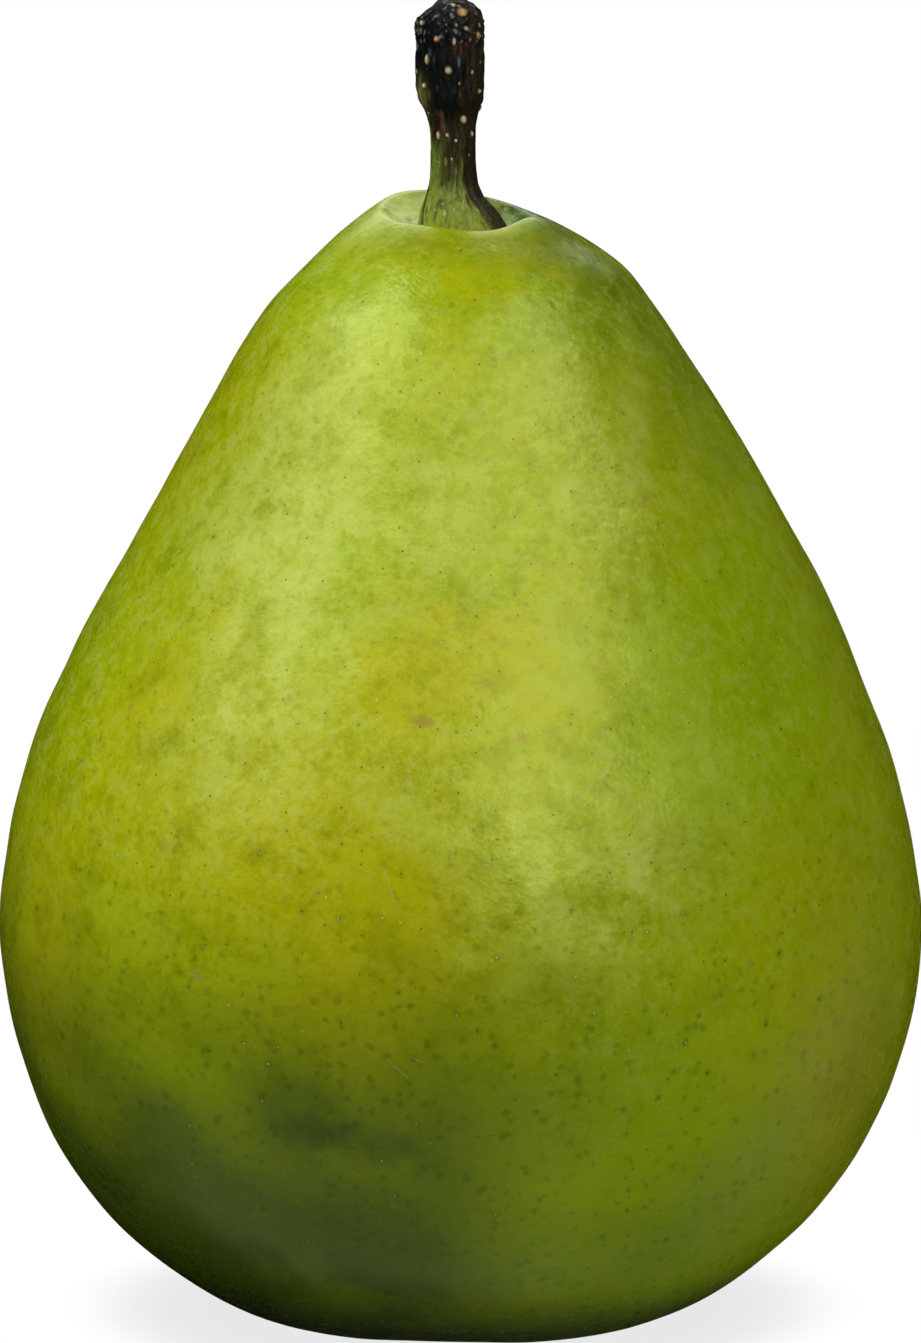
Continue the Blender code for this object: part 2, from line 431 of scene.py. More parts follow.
skinMarks = {
    # noises as (cycles per millimetre, octaves, roughness)
    "noises": {
        "coarse": (0.24, 3.0, 0.6),
        "cloud": (0.19, 7.0, 0.68),
        "fine": (0.72, 3.0, 0.62),
        "grain": (2.6, 2.0, 0.6),
        "speckle": (0.50, 3.0, 0.92),
    },
    # tints that the ground is multiplied by
    "thinTint": (0.70, 0.73, 0.10, 1),
    "spotTint": (0.66, 0.72, 0.20, 1),
    "oliveTint": (0.62, 0.66, 0.05, 1),
    "grainTint": (0.60, 0.66, 0.2, 1),
    "softTint": (0.72, 0.76, 0.30, 1),
    "lowTint": (0.50, 0.62, 0.60, 1),
    # colours that the ground is moved towards
    "paleGrain": (0.46, 0.54, 0.095, 1),
    "halo": (0.055, 0.100, 0.012, 1),
    "brownDot": (0.150, 0.046, 0.002, 1),
    "paleDot": (0.52, 0.50, 0.20, 1),
    "russet": (0.16, 0.095, 0.028, 1),
    "markColours": {
        "smudges": (0.030, 0.052, 0.010, 1),
        "scuffs": (0.30, 0.20, 0.055, 1),
        "scratches": (0.42, 0.46, 0.14, 1),
    },
    # marks on the front as (x, height as seen), half sizes, turn in degrees and strength
    "smudges": [
        ((-12.2, 17.4), (3.6, 4.0, 1.2), 4, 0.60),
        ((-9.4, 10.6), (4.6, 5.0, 2.0), -12, 0.38),
        ((-6.2, 15.8), (2.6, 3.0, 1.2), -20, 0.32),
        ((-29.0, 13.0), (3.0, 5.0, 3.4), 30, 0.35),
        ((18.0, 41.5), (3.5, 4.0, 2.2), 20, 0.12),
    ],
    "scuffs": [
        ((-3.1, 52.2), (0.8, 1.5, 0.45), 15, 0.6),
        ((5.2, 50.8), (0.55, 1.5, 0.35), -20, 0.6),
        ((15.5, 71.0), (0.35, 1.5, 0.5), 0, 0.5),
        ((-22.0, 30.5), (0.5, 1.5, 0.3), 40, 0.5),
    ],
    "scratches": [
        ((-5.0, 22.6), (1.0, 2.0, 0.08), 42, 0.35),
        ((-3.6, 23.6), (0.5, 2.0, 0.07), 20, 0.3),
        ((-5.9, 38.2), (0.07, 2.0, 1.9), -18, 0.4),
    ],
    "softSpacing": 1.15,
    "dotSpacing": 1.6,
    "haloRadius": 0.52,
}


# Waxy skin: the painted ground, with its painted light, shade and sheen, olive clouds and pale
# grains, soft spots, dots with dark halos, marks, and a fine bump that breaks up the sheen.
def makeSkin():
    material = bpy.data.materials.new("pearSkin")
    skin = Shader(material)
    place = skin.inMillimetres()
    growth = skin.masks("growth")
    surface = skin.masks("surface")
    ground = skin.colour("ground")
    noises = (skin.noise(place, *settings) for settings in skinMarks["noises"].values())
    coarse, cloud, fine, grain, speckle = noises

    # clouds from five millimetres down to a tenth: olive where thin, pale wax where thick, over the
    # waxy bloom and its painted sheen
    thin = skin.times(skin.math("SMOOTH_MIN", skin.span(cloud, 0.52, 0.34), 1.0, 0.2), growth[0])
    ground = skin.tint(skin.times(thin, 0.66), ground, skinMarks["thinTint"])
    thick = skin.span(cloud, 0.40, 0.66)
    ground = skin.mix(skin.times(surface[0], thick), ground, (*fruit["pale"], 1))
    spots = skin.times(skin.span(fine, 0.54, 0.70), skin.span(coarse, 0.40, 0.60), growth[0])
    ground = skin.tint(skin.times(spots, 0.30), ground, skinMarks["spotTint"])
    grainy = skin.math("SUBTRACT", 1.0, surface[2])
    pale = skin.times(skin.span(speckle, 0.48, 0.63), growth[0], grainy)
    ground = skin.mix(skin.times(pale, 0.42), ground, skinMarks["paleGrain"])
    olive = skin.times(skin.span(speckle, 0.50, 0.38), growth[0])
    ground = skin.tint(skin.times(olive, 0.30), ground, skinMarks["oliveTint"])
    ground = skin.tint(skin.span(grain, 0.46, 0.30, 0.0, 0.22), ground, skinMarks["grainTint"])

    # soft spots, olive on the left and dark green low down
    push = skin.add("TexNoise", {"Vector": place, "Scale": 1.4, "Detail": 2.0}).outputs["Color"]
    push = skin.vector("SCALE", {0: push, "Scale": 0.9})
    bent = skin.vector("ADD", {0: place, 1: push})
    perSpot = {"Vector": bent, "Scale": 1.0 / skinMarks["softSpacing"]}
    cells = skin.add("TexVoronoi", perSpot, feature="F1").outputs
    pick = skin.add("SeparateColor", {0: cells["Color"]}).outputs
    soft = skin.times(skin.span(cells["Distance"], 0.46, 0.08), skin.span(pick[0], 0.15, 0.8))
    ground = skin.tint(skin.times(soft, growth[0], 0.55), ground, skinMarks["softTint"])
    low = skin.math("MAXIMUM", skin.math("SUBTRACT", growth[1], 0.25), 0.0)
    ground = skin.tint(skin.times(soft, low, 0.95), ground, skinMarks["lowTint"])

    # dots: cells in space whose middle lies near the surface, measured along the surface
    cell = skinMarks["dotSpacing"]
    voronoi = skin.add("TexVoronoi", {"Vector": place, "Scale": 1.0 / cell}, feature="F1")
    normal = skin.add("NewGeometry").outputs["Normal"]
    offset = skin.vector("SUBTRACT", {0: place, 1: voronoi.outputs["Position"]})
    depth = skin.vector("DOT_PRODUCT", {0: offset, 1: normal}, "Value")
    reach = skin.vector("LENGTH", {0: offset}, "Value")
    across = skin.math("SUBTRACT", skin.math("POWER", reach, 2.0), skin.math("POWER", depth, 2.0))
    across = skin.math("SQRT", skin.math("MAXIMUM", across, 0.0))
    near = skin.span(skin.math("ABSOLUTE", depth), 0.30 * cell, 0.20 * cell)
    lot = skin.add("SeparateColor", {0: voronoi.outputs["Color"]}).outputs
    size = skin.span(lot[0], 0.2, 1.0, 0.06, 0.12)
    dot = skin.times(skin.span(across, size, skin.times(size, 0.5)), near)
    halo = skin.span(across, skinMarks["haloRadius"], 0.0)
    halo = skin.times(halo, near, skin.span(lot[1], 0.25, 0.95))
    ground = skin.mix(skin.times(halo, growth[1], 0.60), ground, skinMarks["halo"])

    # smudges, scuffs and scratches, then the dots and the brown of cavity and basin
    waver = skin.math("MULTIPLY_ADD", fine, 2.4, -1.2)
    for group, colour in skinMarks["markColours"].items():
        for (x, seen), half, turn, strength in skinMarks[group]:
            centre = tuple(seat(frontPoint(x, seen), fruit["drawnBox"], "pear_body"))
            mask = skin.oval(place, centre, half, math.radians(turn), waver, 0.75)
            ground = skin.mix(skin.times(mask, strength), ground, colour)
    dotColour = skin.mix(skin.span(lot[2], 0.72, 0.78), skinMarks["brownDot"], skinMarks["paleDot"])
    ground = skin.mix(skin.times(dot, 0.9), ground, dotColour)
    russet = skin.span(skin.total(growth[2], skin.times(fine, 0.7)), 0.75, 1.15)
    ground = skin.mix(russet, ground, skinMarks["russet"])

    # height in millimetres: low pillows, pores, raised dots and short slanting wrinkles
    along = {"Vector": place, "Rotation": (0, math.radians(-48), 0), "Scale": (0.40, 1.0, 2.2)}
    slant = skin.add("Mapping", along, vector_type="TEXTURE").outputs[0]
    wrinkles = skin.times(skin.noise(slant, 1.0, 2.0), surface[1])
    height = skin.total(
        skin.times(fine, 0.060), skin.times(grain, 0.006), skin.times(coarse, 0.08),
        skin.times(dot, 0.010), skin.times(russet, 0.03), skin.times(wrinkles, 0.06),
    )
    bump = skin.add("Bump", {"Height": height, "Distance": 1.0 / perMetre}).outputs[0]
    rough = skin.total(skin.span(fine, 0.35, 0.65, 0.20, 0.29), skin.times(russet, 0.3))
    shader = skin.add("BsdfPrincipled", {
        "Base Color": ground,
        "Roughness": rough,
        "Normal": bump,
        "IOR": 1.45,
        "Specular Tint": (0.85, 1.0, 0.36, 1),
    })
    skin.add("OutputMaterial", {"Surface": shader.outputs[0]})
    return material


# The outline as a curve, with more rings near the cavity and the basin, turned and then moved by
# fruitPlace.
def makeFruit():
    curve = smoothCurve(fruit["outline"], 24)
    spacing = 0.16 + 0.5 * softStep(curve[:, 0], 7, 18)
    profile = evenRows(curve, fruit["rows"], spacing)
    radius, angle, height = turnedGrid(profile, fruit["columns"])
    grid = fruitPlace(radius, angle, height)
    tone, growth, surface = skinGround(grid, radius, angle, height)
    points = seat(closeGrid(grid), fruit["drawnBox"], "pear_body")
    layers = {"ground": tone, "growth": growth, "surface": surface}
    colours = {name: closeGrid(layer) for name, layer in layers.items()}
    faces = wrappedFaces(fruit["rows"], fruit["columns"])
    addPiece("fruitSkin", points, faces, makeSkin(), "pear_body", colours)


makeFruit()


stem = {
    # outline as (radius, height)
    "outline": [
        (0.0, 114.9), (1.7, 114.9), (2.5, 114.2), (2.85, 112.8), (2.80, 110.8), (2.85, 108.8),
        (2.80, 107.0), (2.68, 106.2), (2.28, 105.2), (2.02, 104.1), (1.95, 102.6), (1.93, 101.0),
        (1.98, 100.0), (2.10, 98.9), (2.42, 97.8), (2.70, 96.8), (2.80, 95.8), (2.85, 94.7),
        (2.85, 93.9), (2.4, 93.0), (0.0, 92.6),
    ],
    # the foot flares more to the right: height, and what is added to the radius
    "rightFlare": [
        (92.0, 2.2), (94.0, 2.15), (95.3, 1.80), (96.1, 1.35), (97.0, 0.75), (97.8, 0.20),
        (98.9, 0.0),
    ],
    "drawnBox": ((-4.34, -4.16, 93.75), (3.86, 4.04, 114.94)),
    "rows": 300,
    "columns": 220,
    # raised lenticels as (degrees right of the front, height, half width, half height, rise, tone)
    "warts": [
        (-44, 109.9, 0.24, 0.44, 0.20, 0.9), (-2, 109.0, 0.29, 0.34, 0.24, 0.35),
        (-80, 108.7, 0.16, 0.20, 0.14, 0.1), (-52, 107.6, 0.24, 0.24, 0.16, 0.0),
        (60, 107.1, 0.17, 0.20, 0.16, 0.15), (28, 104.7, 0.26, 0.36, 0.22, 0.6),
        (-38, 103.3, 0.18, 0.36, 0.14, 0.9), (-13, 103.35, 0.16, 0.18, 0.14, 0.9),
        (56, 103.4, 0.15, 0.26, 0.14, 0.2), (-58, 105.2, 0.12, 0.13, 0.10, 0.6),
        (48, 101.6, 0.09, 0.11, 0.07, 0.5), (-22, 111.7, 0.24, 0.26, 0.18, 1.2),
        (12, 112.9, 0.12, 0.14, 0.12, 0.6), (8, 111.5, 0.16, 0.34, 0.14, 0.2),
        (29, 112.6, 0.22, 0.20, 0.16, -0.2), (58, 111.9, 0.26, 0.34, 0.14, 1.7),
        (-60, 113.0, 0.17, 0.24, 0.12, 1.1), (17, 107.9, 0.09, 0.12, 0.08, -0.3),
        (66, 109.6, 0.09, 0.13, 0.08, 1.0), (-70, 112.0, 0.09, 0.12, 0.08, 0.3),
        (24, 114.0, 0.42, 0.36, 0.14, 1.3), (8, 114.6, 0.20, 0.14, 0.08, 1.1),
        (8, 102.9, 0.12, 0.14, 0.06, -0.1), (44, 108.8, 0.10, 0.20, 0.05, 0.6),
        (63, 112.8, 0.12, 0.20, 0.10, 1.1), (110, 110.5, 0.22, 0.32, 0.20, 0.8),
        (150, 107.5, 0.20, 0.30, 0.18, 0.5), (-120, 111.0, 0.20, 0.36, 0.20, 0.9),
        (-150, 106.5, 0.22, 0.30, 0.18, 0.2), (175, 111.8, 0.20, 0.22, 0.16, 0.7),
        (130, 104.0, 0.18, 0.28, 0.14, 0.5), (-110, 104.5, 0.20, 0.30, 0.16, 0.8),
        (-170, 103.0, 0.16, 0.24, 0.12, 0.4), (90, 105.5, 0.16, 0.26, 0.14, 0.3),
        (-130, 108.8, 0.16, 0.18, 0.12, 0.6), (100, 113.0, 0.18, 0.20, 0.14, 1.2),
        (-3, 101.3, 0.07, 0.14, 0.04, 0.5), (-42, 101.0, 0.07, 0.09, 0.04, 0.6),
    ],
    # flat streaks as (degrees, height, half width, half height, strength, colour)
    "streaks": [
        (-20, 104.6, 0.22, 1.15, 0.9, "brown"), (-41, 106.9, 0.14, 0.55, 0.6, "brown"),
        (18, 106.95, 0.18, 0.45, 0.8, "brown"), (-5, 105.0, 0.16, 0.8, 0.4, "brown"),
        (20, 110.85, 0.20, 0.5, 0.7, "rust"), (32, 111.5, 0.24, 0.7, 0.5, "rust"),
        (44, 110.2, 0.10, 1.2, 0.5, "rust"), (72, 110.6, 0.2, 0.7, 0.5, "rust"),
        (-60, 104.7, 0.25, 0.6, 0.6, "brown"), (-30, 105.4, 0.25, 0.4, 0.4, "brown"),
        # the bluish grey streaks are painted glints where the bark shines
        (-77, 111.0, 0.16, 0.55, 0.9, "paintedGlint"), (-38, 110.5, 0.20, 0.40, 0.3, "paintedGlint"),
        (-28, 110.1, 0.10, 0.5, 0.25, "paintedGlint"), (16, 109.7, 0.12, 0.5, 0.7, "paintedGlint"),
        (-22, 107.4, 0.10, 0.5, 0.3, "paintedGlint"), (8, 107.3, 0.06, 0.4, 0.2, "paintedGlint"),
        (-64, 112.4, 0.20, 0.3, 0.5, "paintedGlint"), (18, 112.2, 0.14, 0.24, 0.5, "paintedGlint"),
        (120, 105.0, 0.3, 1.0, 0.8, "brown"), (-140, 104.8, 0.3, 1.1, 0.8, "brown"),
        (160, 110.5, 0.3, 0.9, 0.5, "rust"), (-100, 109.0, 0.15, 0.8, 0.4, "paintedGlint"),
    ],
    "colours": {
        "brown": (0.130, 0.058, 0.022),
        "rust": (0.100, 0.034, 0.010),
        # painted glint: bluish grey shine on the bark
        "paintedGlint": (0.170, 0.210, 0.235),
        "end": (0.0036, 0.0044, 0.0042),
        "neck": (0.034, 0.022, 0.009),
        "green": (0.105, 0.130, 0.018),
        "greenLeft": (0.150, 0.235, 0.024),
        "greenLow": (0.185, 0.235, 0.030),
        "greenFoot": (0.25, 0.300, 0.028),
        # painted highlight on the green ridges
        "greenRidgeHighlight": (0.26, 0.35, 0.075),
        "line": (0.022, 0.016, 0.006),
        "darkRun": (0.022, 0.016, 0.008),
        "slit": (0.12, 0.16, 0.03),
        "fleck": (0.50, 0.55, 0.26),
        "strip": (0.028, 0.019, 0.010),
        "oliveSpot": (0.22, 0.215, 0.055),
        # painted glint on the beads
        "glintBead": (0.20, 0.24, 0.26),
        "warmBead": (0.38, 0.20, 0.055),
        "wartRim": (0.36, 0.29, 0.17),
        "wartRimWarm": (0.36, 0.19, 0.055),
        # pale cores of the lenticels: partly their own cream and ochre, partly a painted highlight
        # on each rise
        "wartCore": (0.66, 0.61, 0.44),
        "wartCoreWarm": (0.62, 0.42, 0.15),
        "wartRust": (0.32, 0.13, 0.025),
    },
    # shades of the material: cracks multiply, dust is laid over
    "crackTint": (0.30, 0.26, 0.20, 1),
    "greenDust": (0.30, 0.36, 0.10, 1),
    # dark scaly strips down to the foot: degrees at the top and at the foot, heights, half width
    "strips": [
        (52, 62, 104.5, 98.0, 0.55), (44, 56, 98.6, 94.0, 0.30), (74, 84, 98.4, 94.0, 0.42),
        (-74, -60, 98.8, 94.0, 0.34), (-30, -34, 97.6, 94.0, 0.07), (150, 165, 99.0, 94.0, 0.4),
        (-140, -150, 98.0, 94.0, 0.3), (112, 118, 98.5, 94.0, 0.35),
    ],
}


# signed distance round the stem in millimetres from a line at these degrees right of the front
def aroundFrom(angle, radius, degrees):
    turn = angle - np.radians(degrees - 90)
    return ((turn + math.pi) % (2 * math.pi) - math.pi) * radius


# distance from a spot on the stem, 1 at its edge: sqrt((around / wide)^2 + (up / tall)^2)
def spotDistance(angle, height, radius, degrees, z, wide, tall):
    around = aroundFrom(angle, radius, degrees)
    return np.sqrt((around / wide) ** 2 + ((height - z) / tall) ** 2)


# Bark: colour from its own layer, darkened in fine upright fissures, with dust on the green part.
# The second layer is kind, as (lenticels, greenness).
def makeBark():
    material = bpy.data.materials.new("stemBark")
    bark = Shader(material)
    place = bark.inMillimetres()
    upright = bark.add("Mapping", {"Vector": place, "Scale": (1.0, 1.0, 0.25)}).outputs[0]
    fibres = bark.noise(upright, 2.6, 4.0, 0.65)
    dust = bark.noise(place, 4.2, 3.0, 0.6)
    kind = bark.masks("kind")
    tone = bark.colour("tone")
    crack = bark.times(bark.span(fibres, 0.54, 0.40), bark.math("SUBTRACT", 1.0, kind[0]))
    colour = bark.tint(bark.times(crack, 0.55), tone, stem["crackTint"])
    speck = bark.times(bark.span(dust, 0.60, 0.72), kind[1])
    colour = bark.mix(bark.times(speck, 0.45), colour, stem["greenDust"])
    height = bark.total(bark.times(fibres, 0.10), bark.times(dust, 0.05))
    bump = bark.add("Bump", {"Height": height, "Distance": 1.0 / perMetre}).outputs[0]
    shader = bark.add("BsdfPrincipled", {
        "Base Color": colour,
        "Roughness": bark.span(dust, 0.3, 0.7, 0.36, 0.62),
        "Normal": bump,
        "IOR": 1.45,
        "Specular IOR Level": 0.14,
    })
    bark.add("OutputMaterial", {"Surface": shader.outputs[0]})
    return material


# The outline with more flare on the right, upright fissures that wander, a torn upper end with
# beads, raised lenticels, a lean and a slanting cut at the top: radius + flare + relief.
def makeStem():
    shades = stem["colours"]
    curve = smoothCurve(stem["outline"], 24)
    profile = evenRows(curve, stem["rows"], np.full(len(curve), 0.1))
    radius, angle, height = turnedGrid(profile, stem["columns"])
    flareHeights, flareWidths = np.array(stem["rightFlare"]).T
    flare = np.interp(height, flareHeights, flareWidths) * softStep(radius, 0.5, 2.0)
    base = radius + flare * (0.10 + 0.90 * softStep(np.cos(angle), -0.35, 1.0))

    # relief of fissures, roughness and beads
    knob = softStep(height, 105, 107.5)
    foot = 1 - softStep(height, 95.0, 99.5)
    straight = np.stack([radius * np.cos(angle), radius * np.sin(angle), height], -1)
    wander = 0.5 * np.sin(0.9 * height + 1.0) + 0.35 * np.sin(2.1 * height + 2 * angle)
    ridges = np.abs(np.sin(7.5 * angle + wander)) ** 0.7 - 0.6
    ridges += 0.5 * (np.abs(np.sin(13.5 * angle - 1.7 * wander + 1.0)) ** 0.8 - 0.6)
    rough = waves(straight, 1.5, 11, (1, 1, 3)) * 0.9 + waves(straight, 0.7, 12, (1, 1, 2.2)) * 0.6
    torn = softStep(height + 0.4 * waves(straight, 2.0, 15), 110.9, 111.5)
    beads = waves(straight, 0.46, 13, (1, 1, 1.25)) * torn
    relief = ridges * (0.06 + 0.07 * knob) * (1 - 0.5 * foot) + rough * (0.03 + 0.04 * knob)
    relief += 0.045 * beads + 0.02 * torn

    # lenticels: each a rise with a small moat round it
    wart = np.zeros_like(radius)
    wartTone = np.zeros_like(radius)
    core = np.zeros_like(radius)
    for degrees, z, wide, tall, rise, hue in stem["warts"]:
        away = spotDistance(angle, height, radius, degrees, z, wide, tall)
        relief = relief + rise * np.exp(-(away**4)) - 0.06 * hump(away, 1.45, 0.35)
        here = 1 - softStep(away, 0.75, 1.15)
        wart = np.maximum(wart, here)
        core = np.maximum(core, 1 - softStep(away + 0.2 * rough, 0.25, 0.9))
        wartTone += here * hue

    oval = 1 + 0.03 * knob * np.cos(2 * angle + 0.9) + 0.02 * np.cos(3 * angle - 0.5)
    grown = (base * oval + relief * softStep(radius, 0.0, 1.2)).clip(0, None)
    x = grown * np.cos(angle)
    y = grown * np.sin(angle)
    top = 114.75 - 0.80 * np.maximum(0, -x - 0.75) - 0.55 * np.maximum(0, x - 1.3)
    top += 0.10 * waves(straight, 0.9, 14)
    lean = -0.66 - 0.28 * softStep(height, 103, 108)
    grid = np.stack([x + lean, y, np.minimum(height, top)], -1)

    # colour: black end, green neck and foot, brown between, a painted highlight on green ridges,
    # strips, streaks, beads and painted glints, and lenticels with partly painted highlights
    turn = (np.degrees(angle) + 270) % 360 - 180
    ragged = waves(straight, 1.1, 21, (1, 1, 4)) * 1.5 + waves(straight, 0.5, 22, (1, 1, 4)) * 0.8
    side = 2.2 * hump(turn, -75, 40)
    greenness = 1 - softStep(height + ragged - side, 98.2, 103.4)
    darkEdge = np.interp(height, [94.5, 96.0, 97.5, 99.0, 101.0], [46, 40, 34, 28, 24])
    darkRun = softStep(turn + 9 * ragged, darkEdge - 7, darkEdge + 7)
    darkRun *= 1 - softStep(turn, 118, 150)
    brown = 1 - softStep(height + 0.6 * ragged, 103.6, 105.6)
    tone = np.full(grid.shape, shades["end"])
    tone = paint(tone, 0.85 * brown, shades["neck"])
    tone = paint(tone, greenness, shades["green"])
    tone = paint(tone, greenness * hump(turn, -75, 30), shades["greenLeft"])
    tone = paint(tone, greenness * (1 - softStep(height, 97, 101)), shades["greenLow"])
    tone = paint(tone, greenness * foot * 0.8, shades["greenFoot"])
    lines = softStep(waves(straight, 0.55, 23, (1, 1, 6)), 0.3, 0.9)
    tone = paint(tone, 0.75 * lines * brown * (1 - 0.8 * foot), shades["line"])
    # painted highlight: paler green along ridges low on the stem
    lit = softStep(waves(straight, 0.45, 26, (1, 1, 4)), 0.7, 1.4)
    lit *= 1 - softStep(height, 101, 104)
    tone = paint(tone, 0.6 * lit, shades["greenRidgeHighlight"])
    tone = paint(tone, 0.93 * darkRun, shades["darkRun"])
    slit = hump(turn, 49, 4.5) * (1 - softStep(height, 96.6, 97.6))
    tone = paint(tone, 0.7 * slit, shades["slit"])
    fleck = softStep(waves(straight, 0.42, 24, (1, 1, 1.5)), 1.0, 1.6)
    fleck *= hump(height, 97.2, 1.6) * hump(turn, -5, 45)
    tone = paint(tone, fleck, shades["fleck"])
    for start, end, high, low, wide in stem["strips"]:
        degrees = start + (end - start) * np.clip((high - height) / (high - low), 0, 1)
        away = np.abs(aroundFrom(angle, radius + flare, degrees)) / wide
        along = softStep(height, low - 1.5, low - 0.5)
        along *= 1 - softStep(height, high - 0.4, high + 0.6)
        scaly = 0.75 + 0.35 * waves(straight, 0.6, 27, (1, 1, 2))
        strip = (1 - softStep(away + 0.25 * ragged, 0.6, 1.3)) * along * scaly
        tone = paint(tone, 0.92 * strip, shades["strip"])
    olive = hump(turn, -70, 17) * hump(height + 0.2 * ragged, 106.7, 1.25)
    tone = paint(tone, 1.2 * olive, shades["oliveSpot"])
    # beads at the torn end: grey-blue ones are painted glints, warm ones ochre
    bead = softStep(beads, 0.65, 1.15)
    beadHue = waves(straight, 0.9, 28)
    tone = paint(tone, 0.75 * bead * softStep(-beadHue, -0.6, 0.5), shades["glintBead"])
    tone = paint(tone, 0.8 * bead * softStep(beadHue, 0.5, 1.1), shades["warmBead"])
    for degrees, z, wide, tall, strength, colour in stem["streaks"]:
        away = spotDistance(angle, height, radius, degrees, z, wide, tall)
        away += 0.15 * ragged
        tone = paint(tone, strength * (1 - softStep(away, 0.3, 1.15)), shades[colour])
    tone = paint(tone, wart, shades["wartRim"])
    tone = paint(tone, wart * np.clip(wartTone, 0, 1), shades["wartRimWarm"])
    # pale cores: partly the lenticels' own colour, partly a painted highlight
    tone = paint(tone, core, shades["wartCore"])
    tone = paint(tone, core * np.clip(wartTone, 0, 1), shades["wartCoreWarm"])
    tone = paint(tone, wart * np.clip(wartTone - 1.0, 0, 1), shades["wartRust"])
    kind = np.stack([wart, greenness, np.zeros_like(wart)], -1)
    colours = {"tone": closeGrid(tone), "kind": closeGrid(kind)}
    points = seat(closeGrid(grid), stem["drawnBox"], "stem")
    faces = wrappedFaces(stem["rows"], stem["columns"])
    addPiece("stemBark", points, faces, makeBark(), "stem", colours)


makeStem()


calyx = {
    "drawnBox": ((-6.23, -5.98, 0.49), (6.62, 6.62, 4.05)),
    # the cup's outline as (radius, height)
    "cup": [
        (0.0, 3.2), (0.9, 3.15), (1.5, 2.75), (1.9, 2.2), (2.3, 2.15), (2.7, 2.6), (2.9, 3.4),
        (2.4, 4.1), (0.0, 4.2),
    ],
    "sepals": 5,
    "firstSepal": math.radians(24),
    "sepalWidth": 1.35,
    "sepalThickness": 0.16,
    "filaments": 18,
    "filamentRadius": 0.055,
    "dark": (0.030, 0.018, 0.010, 1),
    "brown": (0.13, 0.085, 0.045, 1),
    "pale": (0.26, 0.21, 0.14, 1),
}


# Dead brown tissue with fine fibres and paler dust.
def makeDryTissue():
    material = bpy.data.materials.new("dryCalyx")
    dry = Shader(material)
    place = dry.inMillimetres()
    fibres = dry.noise(place, 1.6, 4.0, 0.65)
    dust = dry.noise(place, 5.0, 2.0)
    colour = dry.mix(dry.span(fibres, 0.35, 0.65), calyx["dark"], calyx["brown"])
    colour = dry.mix(dry.span(dust, 0.55, 0.75, 0.0, 0.5), colour, calyx["pale"])
    height = dry.times(fibres, 0.15)
    bump = dry.add("Bump", {"Height": height, "Distance": 1.0 / perMetre}).outputs[0]
    shader = dry.add("BsdfPrincipled", {
        "Base Color": colour,
        "Roughness": 0.8,
        "Normal": bump,
        "Specular IOR Level": 0.2,
    })
    dry.add("OutputMaterial", {"Surface": shader.outputs[0]})
    return material


# A closed tube along a path: rings of width across and thick up, on the path's side and normal.
def tubeAlong(path, side, normal, width, thick, columns):
    around = np.linspace(0, 2 * math.pi, columns, endpoint=False)
    across = np.cos(around)[None, :, None] * side[:, None, :] * width[:, None, None]
    upward = np.sin(around)[None, :, None] * normal[:, None, :] * thick[:, None, None]
    return closeGrid(path[:, None, :] + across + upward)


